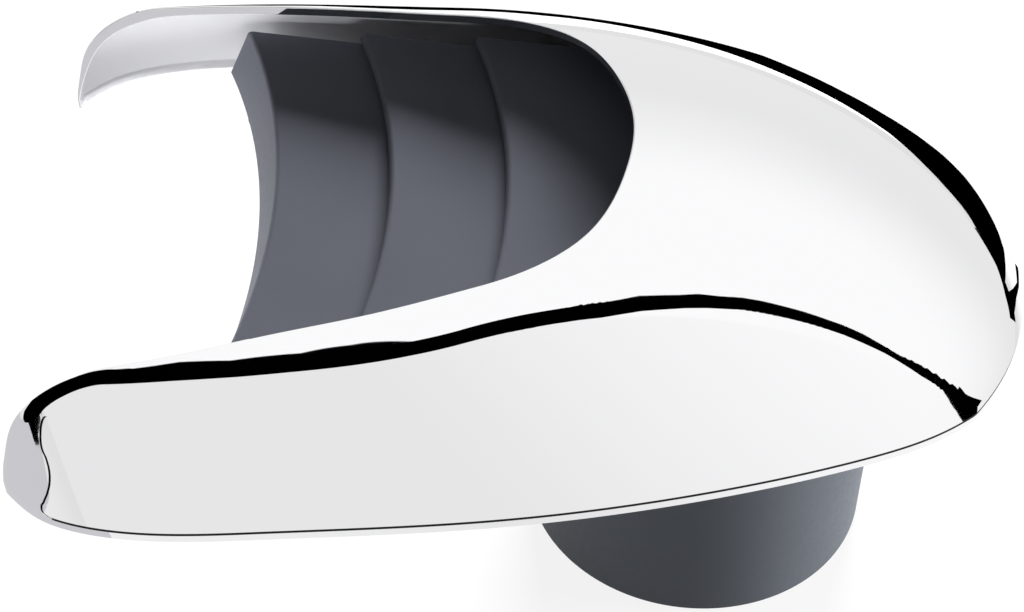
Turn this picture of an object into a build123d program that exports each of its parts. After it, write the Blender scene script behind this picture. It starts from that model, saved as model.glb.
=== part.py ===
from build123d import *
from math import cos, hypot, pi, radians, sin
import os

os.makedirs("parts", exist_ok=True)

# Frame: millimetres, +Z up. The origin is on the axis of the hose spigot,
# in the plane of the deck. +X points to the closed nose of the cowl,
# -X to the open tail, and the part is the same on both sides of Y = 0.

# Cowl, outside
tail_reach = 140.3
nose_reach = 64.5
half_width = 70.7
wall = 2.0
foot_band = 2.0
shoulder_height = 34.0
shoulder_radius = 6.0
crown_height = 43.6
crown_rise = 1.4
crown_start = -52.6
crown_fall = 117.7
crown_fall_power = 2.05
crown_span_share = 82.6 / 70.7
crown_half_span = half_width * crown_span_share
crown_span_power = 2.19
crown_roundness = 0.846
tail_fall = 24.0
roof_rows = 15
roof_reach_share = 0.95
roof_thinning = 1.4

# Mouth of the cowl, cut straight down between the two arms
mouth_width_share = 55.5 / 70.7
mouth_half_width = half_width * mouth_width_share
mouth_apex = -18.4

# Fits
moulding_gap = 0.4
seat_gap = 0.1
thread_gap = 0.05

# Duct housing under the cowl
gasket_thickness = 1.5
floor_thickness = 3.0
duct_pad_height = 2.5
cheek_thickness = 2.0
cheek_half_spread = mouth_half_width - 5.5
cheek_slope = 0.2055
cheek_nose_end = -20.0
tray_tail = -95.0
dam_thickness = 1.8
dam_lap = 1.4
scupper_width = 9.0
scupper_height = 3.0
scupper_pitch = 30.0
scupper_count = 3

# Louvres
louvre_radius = 160.0
louvre_thickness = 1.4
louvre_pitch = 23.3
louvre_step = 2.6
louvre_overlap = 3.5
louvre_bend = 1.2
lip_depth = 1.8
first_lip = -89.3
first_lip_height = 24.0
apron_depth = 12.4
apron_lean = 4.6
rear_louvre_end = -9.0
fence_height = 4.0

# Hose spigot
spigot_radius = 38.0
spigot_root_radius = 38.6
spigot_wall = 3.0
spigot_chamfer = 0.8
spigot_depth = 68.1
coaming_height = 14.0
flange_radius = 43.5
flange_thickness = 2.5
seal_thickness = 1.0

# Fasteners
stud_radius = 2.5
stud_neck_radius = 3.2
stud_drop = 19.0
stud_spacing_x = 122.0
stud_spacing_y = 48.0
stud_centre = -17.5
stud_head_flats = 8.0
stud_head_height = 3.5
stud_pad_radius = 5.8
spigot_screw_radius = 1.25
spigot_screw_head_radius = 2.2
spigot_screw_head_height = 1.6
spigot_screw_length = 7.5
cowl_screw_radius = 2.0
cowl_screw_head_radius = 3.8
cowl_screw_length = 9.0
boss_radius = 4.2
boss_inset = 8.7
tail_boss_place = (-80.0, half_width - boss_inset)
tail_boss_top = 12.5
nose_boss_place = (26.0, 0.566 * half_width)

# Heights that follow from the thicknesses
floor_bottom = gasket_thickness
floor_top = floor_bottom + floor_thickness
pad_top = floor_top + duct_pad_height
seal_top = pad_top + seal_thickness
flange_top = seal_top + flange_thickness
wall_root = floor_bottom + floor_thickness / 2
overall_length = tail_reach + nose_reach

# Plan of one side of the cowl, from tail to nose, as shares of its length
# and half width: once at the foot and once at the height of the shoulder.
foot_plan = [
    (-0.014, 0.707), (-0.006, 0.785), (0.014, 0.851), (0.039, 0.908), (0.105, 0.980), (0.248, 1.0),
    (0.462, 0.976), (0.645, 0.902), (0.796, 0.796), (0.875, 0.709), (0.925, 0.615), (0.978, 0.481),
    (1.017, 0.368),
]
shoulder_plan = [
    (-0.014, 0.509), (-0.006, 0.608), (0.018, 0.679), (0.054, 0.718), (0.125, 0.734), (0.259, 0.728),
    (0.465, 0.656), (0.643, 0.554), (0.786, 0.417), (0.857, 0.297), (0.896, 0.205), (0.930, 0.150),
    (0.949, 0.120),
]
# Plan of one side of the mouth, from tail to apex: share of the distance to
# the apex, and share of the mouth's half width.
mouth_plan = [
    (0.0, 1.0), (0.094, 0.989), (0.169, 0.969), (0.305, 0.932), (0.441, 0.879), (0.577, 0.822),
    (0.713, 0.751), (0.781, 0.710), (0.849, 0.645), (0.917, 0.530), (0.980, 0.262), (1.0, 0.0),
]


def box_between(low, high):
    sizes = [b - a for a, b in zip(low, high)]
    middle = [(a + b) / 2 for a, b in zip(low, high)]
    return Pos(*middle) * Box(*sizes)


def post(radius, bottom, top, x=0.0, y=0.0):
    return Pos(x, y, (bottom + top) / 2) * Cylinder(radius, top - bottom)


def tube(outer, inner, bottom, top, x=0.0, y=0.0):
    return post(outer, bottom, top, x, y) - post(inner, bottom - 1, top + 1, x, y)


# Cowl surfaces

def side_points(height, inset):
    """One side of the cowl's plan at a height, moved inwards by inset. The sides lean
    straight from the foot plan through the shoulder plan."""
    climb = (height - foot_band) / (shoulder_height - foot_band)
    points = []
    for (foot_x, foot_y), (top_x, top_y) in zip(foot_plan, shoulder_plan):
        along = foot_x + (top_x - foot_x) * climb
        across = foot_y + (top_y - foot_y) * climb
        points.append((along * overall_length - tail_reach, across * half_width))
    moved = []
    for i, (x, y) in enumerate(points):
        x0, y0 = points[max(i - 1, 0)]
        x1, y1 = points[min(i + 1, len(points) - 1)]
        run = hypot(x1 - x0, y1 - y0)
        moved.append((x + inset * (y1 - y0) / run, y - inset * (x1 - x0) / run, height))
    return moved


def plan_wire(height, inset):
    """Closed plan: two curved sides joined by straight lines at tail and nose."""
    side = side_points(height, inset)
    mirrored = [(x, -y, z) for x, y, z in side]
    return Wire([
        Spline(*side),
        Line(side[-1], mirrored[-1]),
        Spline(*reversed(mirrored)),
        Line(mirrored[0], side[0]),
    ])


def crown(x, drop):
    """Height of the roof on the centre line over the arms and mouth."""
    share = min(max((crown_start - x) / (tail_reach + crown_start), 0.0), 1.0)
    return crown_height - drop + crown_rise * sin(pi * share) ** 2


def roof_surface(inset):
    """The domed roof as one smooth surface: an elliptical fall at the tail, a long crown,
    and a fall to the nose."""
    fall = crown_fall - roof_thinning * inset
    tail_run = tail_fall - inset
    tail_start = tail_fall - tail_reach
    rows = []
    for i in range(roof_rows):
        y = crown_half_span * roof_reach_share * (2 * i / (roof_rows - 1) - 1)
        level = 1 - (abs(y) / crown_half_span) ** crown_span_power
        dome = level ** crown_roundness
        row = []
        for j in range(8):
            turn = pi / 2 * (1 - j / 8)
            x = tail_start - tail_run * sin(turn)
            row.append((x, y, crown(x, inset) * dome * cos(turn)))
        for j in range(4):
            x = tail_start + (crown_start - tail_start) * j / 4
            row.append((x, y, crown(x, inset) * dome))
        reach = fall * level ** (1 / crown_fall_power)
        for j in range(13):
            share = sin(pi / 2 * j / 12)
            rest = max(level - (share * reach / fall) ** crown_fall_power, 0.0)
            height = (crown_height - inset) * rest ** crown_roundness
            row.append((crown_start + share * reach, y, height))
        rows.append([Vector(*point) for point in row])
    return Face.make_surface_from_array_of_points(rows, tol=0.02, min_deg=3, max_deg=5)


def leaning_body(inset):
    """Space inside the cowl above its foot band: leaning sides under the domed roof."""
    top = crown_height + crown_rise + 1
    sides = Solid.make_loft([plan_wire(foot_band, inset), plan_wire(top, inset)], ruled=True)
    under_roof = extrude(roof_surface(inset), amount=2 * crown_height, dir=(0, 0, -1))
    return sides & under_roof


def with_band(body):
    """The body with its upright band, down to the deck."""
    sole = body.faces().sort_by(Axis.Z)[0]
    return body + extrude(sole, amount=foot_band, dir=(0, 0, -1))


def cowl_space(inset):
    """Whole space inside the cowl's surface, moved inwards by inset."""
    return with_band(leaning_body(inset))


def mouth_cutter():
    """Plug of the mouth: open at the tail, round at the apex."""
    span = tail_reach + mouth_apex
    side = [(-tail_reach + share * span, across * mouth_half_width) for share, across in mouth_plan]
    side = [(-tail_reach - 10, side[0][1])] + side[:-1]
    apex = (mouth_apex, 0)
    mirrored = [(x, -y) for x, y in side]
    curve = Spline(*side[1:], apex, *reversed(mirrored[1:]))
    straight = Polyline(mirrored[1], mirrored[0], side[0], side[1])
    plan = Face(Wire([curve, *straight.edges()]))
    return extrude(Pos(0, 0, -1) * plan, amount=crown_height + 10, dir=(0, 0, 1))


def boss_places():
    return [(x, side * y) for x, y in (tail_boss_place, nose_boss_place) for side in (1, -1)]


def rounded_outside():
    """Outer body of the cowl, mouth cut out and shoulder lines rounded."""
    body = leaning_body(0) - mouth_cutter()
    roof = body.faces().sort_by(Axis.Z)[-1]
    ridges = []
    for edge in roof.edges():
        reach = edge.bounding_box()
        if reach.min.Y * reach.max.Y > 0 and edge.length > crown_fall:
            ridges.append(edge)
    return with_band(fillet(ridges, shoulder_radius))


def make_cowl_shell():
    """Polished cast cowl: domed roof, two arms, screw bosses inside."""
    shell = rounded_outside() - cowl_space(wall)
    core = cowl_space(wall / 2)
    for x, y in boss_places():
        top = tail_boss_top if x == tail_boss_place[0] else crown_height
        shell += post(boss_radius, floor_top, top, x, y) & core
    shell -= mouth_cutter()
    tip = floor_bottom + cowl_screw_length + 1
    for x, y in boss_places():
        shell -= post(cowl_screw_radius + thread_gap, floor_bottom, tip, x, y)
    return shell


# Housing and duct

def lip_post(radius_change, bottom, top, lip=first_lip):
    """Upright drum whose side follows the curved plan of the louvre lips."""
    return post(louvre_radius + radius_change, bottom, top, lip - louvre_radius, 0)


def cheek_wedge(inset, bottom, top):
    """Space between the two converging cheeks, moved inwards by inset."""
    tail = -tail_reach
    nose = nose_reach
    at_tail = cheek_half_spread - cheek_slope * (tail - first_lip) - inset
    at_nose = cheek_half_spread - cheek_slope * (nose - first_lip) - inset
    plan = Polyline((tail, -at_tail), (nose, -at_nose), (nose, at_nose), (tail, at_tail), close=True)
    return extrude(Pos(0, 0, bottom) * Face(Wire(plan.edges())), amount=top - bottom, dir=(0, 0, 1))


def lip_heights():
    return [first_lip_height + i * louvre_step for i in range(3)]


def lip_places():
    return [first_lip + i * louvre_pitch for i in range(3)]


def stud_places():
    xs = (stud_centre - stud_spacing_x / 2, stud_centre + stud_spacing_x / 2)
    return [(x, side * stud_spacing_y / 2) for x in xs for side in (1, -1)]


def spigot_screw_places():
    radius = (spigot_radius + flange_radius) / 2
    angles = [radians(45 + 90 * i) for i in range(4)]
    return [(radius * cos(angle), radius * sin(angle)) for angle in angles]


def dam_face():
    """Change of radius from the lip curve to the dam's outer face, just inside the apron."""
    return louvre_thickness + seat_gap - apron_lean * (1 - dam_lap / apron_depth)


def tray_slice(inset, bottom, top):
    """Slice of the space under the cowl, ended at the tail by the curve of the dam."""
    big = 2 * overall_length
    slab = box_between((-big, -big, bottom), (big, big, top))
    tray = (cowl_space(inset) & slab) - lip_post(dam_face(), bottom - 1, top + 1)
    cheek_foot = cheek_half_spread - cheek_slope * (tray_tail - first_lip) - cheek_thickness / 2
    for side in (1, -1):
        near, far = sorted((side * cheek_foot, side * big))
        tray -= box_between((-big, near, bottom - 1), (tray_tail, far, top + 1))
    return tray


def apron_cone(gap, top):
    """Cone behind the leaning apron of the first louvre, a gap away from it."""
    at_top = louvre_radius + louvre_thickness + gap - apron_lean / apron_depth * (first_lip_height - top)
    at_floor = at_top - apron_lean / apron_depth * (top - floor_bottom)
    cone = Cone(at_floor, at_top, top - floor_bottom)
    return Pos(first_lip - louvre_radius, 0, (floor_bottom + top) / 2) * cone


def hex_post(flats, bottom, top, x, y):
    plan = RegularPolygon(flats / 2, 6, major_radius=False)
    return extrude(Pos(x, y, bottom) * plan, amount=top - bottom)


def make_dam():
    """Curved wall behind the foot of the first louvre, with drain scuppers at the floor."""
    top = first_lip_height - apron_depth + dam_lap
    face = dam_face()
    dam = lip_post(face + dam_thickness, wall_root, top) - lip_post(face, floor_bottom, top + 1)
    dam &= cheek_wedge(0, wall_root, top)
    for i in range(scupper_count):
        y = (i - (scupper_count - 1) / 2) * scupper_pitch
        low = (-tail_reach, y - scupper_width / 2, floor_top)
        high = (first_lip + louvre_pitch, y + scupper_width / 2, floor_top + scupper_height)
        dam -= box_between(low, high)
    return dam


def make_cheeks():
    """Two converging side plates, stepped along the top to seat the louvres."""
    cheeks = cheek_wedge(0, wall_root, crown_height)
    cheeks -= cheek_wedge(cheek_thickness, floor_bottom, crown_height + 1)
    cheeks -= lip_post(dam_face(), floor_bottom, crown_height + 1)
    cheeks -= apron_cone(seat_gap, crown_height)
    cheeks -= post(flange_radius + seat_gap, pad_top, crown_height + 1)
    cheeks -= box_between(
        (cheek_nose_end, -half_width, floor_bottom), (overall_length, half_width, crown_height + 2)
    )
    cheeks &= cowl_space(wall + moulding_gap)
    for lip, height in zip(lip_places(), lip_heights()):
        seat = height - louvre_thickness - seat_gap
        cheeks -= lip_post(louvre_pitch + louvre_overlap, seat, crown_height + 2, lip)
    return cheeks


def make_duct_housing():
    """Moulded tray: floor, curved dam, stepped cheeks, duct pad and stud pads."""
    housing = tray_slice(wall + moulding_gap, floor_bottom, floor_top)
    housing += make_dam()
    housing += make_cheeks()
    housing += post(flange_radius, floor_top, pad_top)
    pocket_top = floor_top + stud_head_height
    for x, y in stud_places():
        housing += post(stud_pad_radius, floor_top, pocket_top, x, y)
    housing -= post(spigot_root_radius + seat_gap, 0, crown_height)
    for x, y in stud_places():
        housing -= hex_post(stud_head_flats + 2 * seat_gap, floor_top, pocket_top + 1, x, y)
        housing -= post(stud_neck_radius + seat_gap, 0, floor_top + 1, x, y)
    for x, y in spigot_screw_places():
        bottom = flange_top - spigot_screw_length
        housing -= post(spigot_screw_radius + thread_gap, bottom, pad_top + 1, x, y)
    for x, y in boss_places():
        housing -= screw_shape(seat_gap, x, y)
    return housing


# Louvres

def make_louvre(index):
    """One bent blade, turned about the upright axis of its curved lip and trimmed to the
    cheeks. The first has a deep apron, the others a short lip."""
    lip = lip_places()[index]
    height = lip_heights()[index]
    last = index == len(lip_places()) - 1
    reach = rear_louvre_end - lip if last else louvre_pitch + louvre_overlap
    depth = apron_depth if index == 0 else lip_depth
    lean = apron_lean * depth / apron_depth
    under = louvre_radius + louvre_thickness
    knee = louvre_thickness * apron_lean / apron_depth
    outline = [
        (louvre_radius - lean, height - depth),
        (louvre_radius, height),
        (louvre_radius + reach, height),
        (louvre_radius + reach, height - louvre_thickness),
        (under - knee, height - louvre_thickness),
        (under - lean, height - depth),
    ]
    profile = make_face(Plane.XZ * Polyline(*outline, close=True))
    axis = Axis((0, 0, 0), (0, 0, 1))
    blade = revolve(profile, axis, 360)
    lip_edges = [
        edge for edge in blade.edges()
        if abs(edge.center().Z - height) < 0.01 and abs(edge.length - 2 * pi * louvre_radius) < 0.1
    ]
    blade = fillet(lip_edges, louvre_bend)
    if last:
        fence_inner = louvre_radius + reach - louvre_thickness
        fence = tube(louvre_radius + reach, fence_inner, height - louvre_thickness, height + fence_height)
        blade += fence
    blade = Pos(lip - louvre_radius, 0, 0) * Rot(0, 0, 180) * blade
    return blade & cheek_wedge(0, 0, crown_height) & cowl_space(wall + moulding_gap)


# Spigot, seal and gasket

def make_hose_spigot():
    """Hose spigot, thicker where it passes through the tray, with a flange above.
    Its upper end stands up as a coaming round the duct."""
    bore = spigot_radius - spigot_wall
    spigot = tube(spigot_radius, bore, -spigot_depth, coaming_height)
    spigot += tube(spigot_root_radius, bore, 0, seal_top)
    spigot += tube(flange_radius, bore, seal_top, flange_top)
    low = spigot.edges().filter_by(GeomType.CIRCLE).group_by(Axis.Z)[0]
    spigot = chamfer(low.sort_by(SortBy.RADIUS)[-1:], spigot_chamfer)
    for x, y in spigot_screw_places():
        spigot -= post(spigot_screw_radius + seat_gap, seal_top - 1, flange_top + 1, x, y)
    return spigot


def make_spigot_seal():
    seal = tube(flange_radius, spigot_root_radius + seat_gap, pad_top, seal_top)
    for x, y in spigot_screw_places():
        seal -= post(spigot_screw_radius + seat_gap, pad_top - 1, seal_top + 1, x, y)
    return seal


def make_base_gasket():
    """Foam pad between the tray and the deck, with holes for the duct and the studs."""
    gasket = tray_slice(wall + moulding_gap, 0, gasket_thickness)
    gasket -= post(spigot_root_radius + seat_gap, -1, gasket_thickness + 1)
    for x, y in stud_places():
        gasket -= post(stud_neck_radius + seat_gap, -1, gasket_thickness + 1, x, y)
    return gasket


# Fasteners

def screw_shape(gap, x, y):
    """Countersunk screw from below, or the hole for it when a gap is given."""
    slope = cowl_screw_head_radius - cowl_screw_radius
    head = Cone(cowl_screw_head_radius + gap, cowl_screw_radius + gap, slope)
    head = Pos(x, y, floor_bottom + slope / 2) * head
    return head + post(cowl_screw_radius + gap, floor_bottom, floor_bottom + cowl_screw_length, x, y)


def make_mounting_stud(x, y):
    """Stud with a hexagon head in a pocket of the tray, a neck that fills the tray's hole
    and a threaded end that passes through the deck."""
    head = hex_post(stud_head_flats, floor_top, floor_top + stud_head_height, x, y)
    neck = post(stud_neck_radius, 0, floor_top, x, y)
    return head + neck + post(stud_radius, -stud_drop, floor_top, x, y)


def make_spigot_screw(x, y):
    shank = post(spigot_screw_radius, flange_top - spigot_screw_length, flange_top, x, y)
    head = post(spigot_screw_head_radius, flange_top, flange_top + spigot_screw_head_height, x, y)
    return shank + head


def save(name, piece):
    piece.label = name
    export_step(piece, f"parts/{name}.step")


save("cowl_shell", make_cowl_shell())
save("duct_housing", make_duct_housing())
for index, name in enumerate(("front_louvre", "middle_louvre", "rear_louvre")):
    save(name, make_louvre(index))
save("hose_spigot", make_hose_spigot())
save("spigot_seal", make_spigot_seal())
save("base_gasket", make_base_gasket())
corners = ("tail_left", "tail_right", "nose_left", "nose_right")
for corner, (x, y) in zip(corners, stud_places()):
    save(f"mounting_stud_{corner}", make_mounting_stud(x, y))
for corner, (x, y) in zip(corners, boss_places()):
    save(f"cowl_screw_{corner}", screw_shape(0, x, y))
for number, (x, y) in enumerate(spigot_screw_places(), start=1):
    save(f"spigot_screw_{number}", make_spigot_screw(x, y))
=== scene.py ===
import bpy
import bmesh
import numpy as np
from mathutils import Matrix, Vector


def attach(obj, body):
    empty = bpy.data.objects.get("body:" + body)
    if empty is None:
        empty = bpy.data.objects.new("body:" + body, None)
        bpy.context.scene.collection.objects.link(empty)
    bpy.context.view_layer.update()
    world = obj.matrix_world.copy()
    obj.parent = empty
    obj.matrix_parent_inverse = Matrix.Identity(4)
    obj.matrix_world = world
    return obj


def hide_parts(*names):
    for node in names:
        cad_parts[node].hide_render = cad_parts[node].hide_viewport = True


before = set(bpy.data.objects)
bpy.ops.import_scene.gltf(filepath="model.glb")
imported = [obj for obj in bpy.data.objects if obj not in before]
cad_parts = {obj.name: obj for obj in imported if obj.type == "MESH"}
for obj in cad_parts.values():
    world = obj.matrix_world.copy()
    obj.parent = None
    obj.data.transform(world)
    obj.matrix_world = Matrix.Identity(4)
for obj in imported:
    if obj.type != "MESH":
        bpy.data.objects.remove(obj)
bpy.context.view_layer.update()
MM = 0.001

# Cowl sizes in millimetres, and powers and shares of its curves, in the frame of the part: the origin
# is on the axis of the hose spigot in the plane of the deck, +X is the closed nose, +Z is up.
tail_reach = 140.3
nose_reach = 64.5
half_width = 70.7
cowl_wall = 2.0
foot_band = 2.0
shoulder_height = 34.0
shoulder_radius = 6.0
crown_height = 43.6
crown_rise = 1.4
crown_start = -52.6
crown_fall = 117.7
crown_fall_power = 2.05
crown_half_span = 82.6
crown_span_power = 2.19
crown_roundness = 0.846
tail_fall = 24.0
seam_width = 0.65
seam_depth = 0.5
seam_flank = 0.05
edge_round = 0.3
thin_foot_start = -88.0
thin_foot_run = 12.0
thin_foot_height = 18.0
thin_foot_share = 0.42
tail_flat_start = -128.0
tail_flat_run = 11.0
tail_flat_push = 1.3
tail_flat_height = 9.0
tail_flat_fade = 15.0
tail_flat_power = 1.5
seam_turn = -128.6
seam_turn_run = 1.6
mouth_half_width = 55.5
mouth_apex = -18.4
plan_middle = -40.0
tail_part = -100.0
inner_tail = -122.0
roof_line_end = 30.0
overall_length = tail_reach + nose_reach
foot_plan = [
    (-0.014, 0.707), (-0.006, 0.785), (0.014, 0.851), (0.039, 0.908), (0.105, 0.980), (0.248, 1.0),
    (0.462, 0.976), (0.645, 0.902), (0.796, 0.796), (0.875, 0.709), (0.925, 0.615), (0.978, 0.481),
    (1.017, 0.368),
]
shoulder_plan = [
    (-0.014, 0.509), (-0.006, 0.608), (0.018, 0.679), (0.054, 0.718), (0.125, 0.734), (0.259, 0.728),
    (0.465, 0.656), (0.643, 0.554), (0.786, 0.417), (0.857, 0.297), (0.896, 0.205), (0.930, 0.150),
    (0.949, 0.120),
]
mouth_plan = [
    (0.0, 1.0), (0.094, 0.989), (0.169, 0.969), (0.305, 0.932), (0.441, 0.879), (0.577, 0.822),
    (0.713, 0.751), (0.781, 0.710), (0.849, 0.645), (0.917, 0.530), (0.980, 0.262), (1.0, 0.0),
]

# Fineness and limits of the cowl's curves and mesh; the angle is in radians, the two turns are cosines
full_grid = (244, 92)
end_crowding = 0.45
bend_weight = 36.0
plan_samples = 3000
mouth_samples = 2001
outline_samples = 2400
middle_samples = 200
trial_rays = 160
side_halvings = 18
ray_halvings = 26
longest_ray = 120.0
open_tail_angle = 0.3
flat_turn = 0.999
flattest_turn = 0.9995
seam_rows = (2, 3, 4)
seam_faint = 0.01
nearly_zero = 1e-6


# Curves

def smooth_curve(points, samples):
    """Cubic curve through the points, as a table of places at even steps of its parameter."""
    points = np.array(points, float)
    steps = np.hypot(*np.diff(points, axis=0).T)
    knots = np.concatenate([[0.0], np.cumsum(steps)])
    count = len(points)
    system = np.zeros((count, count))
    right = np.zeros((count, 2))
    system[0, 0] = system[-1, -1] = 1.0
    for i in range(1, count - 1):
        before, after = steps[i - 1], steps[i]
        system[i, i - 1:i + 2] = before, 2 * (before + after), after
        right[i] = 6 * ((points[i + 1] - points[i]) / after - (points[i] - points[i - 1]) / before)
    bend = np.linalg.solve(system, right)
    at = np.linspace(0, knots[-1], samples)
    i = np.clip(np.searchsorted(knots, at, side="right") - 1, 0, count - 2)
    width = steps[i][:, None]
    low = (knots[i + 1] - at)[:, None]
    high = (at - knots[i])[:, None]
    straight = (points[i] / width - bend[i] * width / 6) * low
    straight += (points[i + 1] / width - bend[i + 1] * width / 6) * high
    return straight + (bend[i] * low ** 3 + bend[i + 1] * high ** 3) / (6 * width)


def eased(share):
    """Share between zero and one with a gentle start and end."""
    share = np.clip(share, 0.0, 1.0)
    return share * share * (3.0 - 2.0 * share)


def along_path(path, count):
    """The path resampled, with closer places towards both of its ends."""
    run = np.concatenate([[0.0], np.cumsum(np.hypot(*np.diff(path, axis=0).T))])
    even = np.linspace(0, 1, count)
    at = run[-1] * (even - end_crowding * np.sin(2 * np.pi * even) / (2 * np.pi))
    return np.stack([np.interp(at, run, path[:, k]) for k in (0, 1)], axis=1)


# Cowl: one function says how far a place is outside the polished surface

plan_scale = np.array([overall_length, half_width])
plan_shift = np.array([-tail_reach, 0.0])
foot_curve = smooth_curve(np.array(foot_plan) * plan_scale + plan_shift, plan_samples)
shoulder_curve = smooth_curve(np.array(shoulder_plan) * plan_scale + plan_shift, plan_samples)
curve_at = np.linspace(0, 1, plan_samples)


def outside_side(x, y, z):
    """Distance outside the leaning side wall, and the wall's normal there."""
    climb = (np.maximum(z, foot_band) - foot_band) / (shoulder_height - foot_band)
    low = np.zeros_like(x)
    high = np.ones_like(x)
    for _ in range(side_halvings):
        middle = (low + high) / 2
        reached = np.interp(middle, curve_at, foot_curve[:, 0]) * (1 - climb)
        reached += np.interp(middle, curve_at, shoulder_curve[:, 0]) * climb
        short = reached < x
        low = np.where(short, middle, low)
        high = np.where(short, high, middle)
    step = 0.004
    ends = []
    for at in (low, np.clip(low - step, 0, 1), np.clip(low + step, 0, 1)):
        foot = [np.interp(at, curve_at, foot_curve[:, k]) for k in (0, 1)]
        top = [np.interp(at, curve_at, shoulder_curve[:, k]) for k in (0, 1)]
        ends.append([f + (t - f) * climb for f, t in zip(foot, top)] + [foot, top])
    here, before, after = ends
    slope_x = (after[1] - before[1]) / np.maximum(after[0] - before[0], nearly_zero)
    rise = shoulder_height - foot_band
    slope_z = (here[3][1] - here[2][1]) / rise - slope_x * (here[3][0] - here[2][0]) / rise
    slope_z = np.where(z < foot_band, 0.0, slope_z)
    length = np.sqrt(1 + slope_x ** 2 + slope_z ** 2)
    side = np.where(y < 0, -1.0, 1.0)
    normal = np.stack([-slope_x, side, -slope_z], axis=-1) / length[..., None]
    return (np.abs(y) - here[1]) / length, normal


def roof_height(x, y):
    """Height of the domed roof."""
    level = np.maximum(1 - (np.abs(y) / crown_half_span) ** crown_span_power, 0.0)
    share = np.clip((crown_start - x) / (tail_reach + crown_start), 0, 1)
    crown = crown_height + crown_rise * np.sin(np.pi * share) ** 2
    tail_turn = np.clip((tail_fall - tail_reach - x) / tail_fall, 0, 1)
    arms = crown * level ** crown_roundness * np.sqrt(1 - tail_turn ** 2)
    fallen = (np.maximum(x - crown_start, 0) / crown_fall) ** crown_fall_power
    nose = crown_height * np.maximum(level - fallen, 0) ** crown_roundness
    return np.where(x < crown_start, arms, nose)


def outside_roof(x, y, z):
    """Distance outside the roof, and the roof's normal there."""
    step = 0.02
    slope_x = (roof_height(x + step, y) - roof_height(x - step, y)) / (2 * step)
    slope_y = (roof_height(x, y + step) - roof_height(x, y - step)) / (2 * step)
    length = np.sqrt(1 + slope_x ** 2 + slope_y ** 2)
    normal = np.stack([-slope_x, -slope_y, np.ones_like(x)], axis=-1) / length[..., None]
    return (z - roof_height(x, y)) / length, normal


def outside_cowl(place):
    """Distance outside the cowl: its side and its roof, joined by the rounded shoulder."""
    x, y, z = place[..., 0], place[..., 1], place[..., 2]
    side, side_normal = outside_side(x, y, z)
    roof, roof_normal = outside_roof(x, y, z)
    turn = np.clip(np.sum(side_normal * roof_normal, axis=-1), -1, flattest_turn)
    a = side + shoulder_radius
    b = roof + shoulder_radius
    from_axis = np.sqrt(np.maximum(a * a + b * b - 2 * a * b * turn, 0) / (1 - turn ** 2))
    rounded = (a > b * turn) & (b > a * turn) & (a > 0) & (b > 0) & (turn < flat_turn)
    return np.where(rounded, from_axis - shoulder_radius, np.maximum(side, roof))


def reach_along(start, ray, depth):
    """How far each ray goes before it is depth inside the cowl's surface."""
    near = np.zeros(ray.shape[:-1])
    far = np.full(ray.shape[:-1], longest_ray)
    for _ in range(ray_halvings):
        middle = (near + far) / 2
        inside = outside_cowl(start + ray * middle[..., None]) < -depth
        near = np.where(inside, middle, near)
        far = np.where(inside, far, middle)
    return (near + far) / 2


def surface_normals(points):
    """Outward normals of the cowl's surface at the points."""
    step = 0.15
    grads = []
    for k in range(3):
        move = np.zeros(3)
        move[k] = step
        grads.append(outside_cowl(points + move) - outside_cowl(points - move))
    normal = np.stack(grads, axis=-1)
    return normal / np.maximum(np.linalg.norm(normal, axis=-1, keepdims=True), nearly_zero)


def mouth_edge(margin):
    """Plan of one side of the mouth's edge, from tail to apex, moved outwards by margin."""
    span = tail_reach + mouth_apex
    points = [(-tail_reach + share * span, -across * mouth_half_width) for share, across in mouth_plan]
    mirrored = [(x, -y) for x, y in reversed(points[:-1])]
    whole = smooth_curve(points + mirrored, 2 * mouth_samples - 1)
    edge = whole[:mouth_samples]
    along = np.gradient(edge, axis=0)
    along /= np.hypot(*along.T)[:, None]
    return edge + margin * np.stack([along[:, 1], -along[:, 0]], axis=1)


def cowl_outline(edge):
    """Plan of one side of the foot, from the mouth's edge at the tail to the nose."""
    middle = np.array([plan_middle, 0.0, foot_band])
    angle = np.linspace(-np.pi + open_tail_angle, 0, outline_samples)
    ray = np.stack([np.cos(angle), np.sin(angle), np.zeros_like(angle)], axis=1)
    foot = middle + ray * reach_along(middle, ray, 0.0)[:, None]
    foot = foot[:, :2]
    past = np.nonzero((foot[:, 0] < tail_part) & (foot[:, 1] > edge[0, 1]))[0].max()
    share = (edge[0, 1] - foot[past, 1]) / (foot[past + 1, 1] - foot[past, 1])
    corner = foot[past] + (foot[past + 1] - foot[past]) * share
    return np.vstack([corner, foot[past + 1:]])


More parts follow.
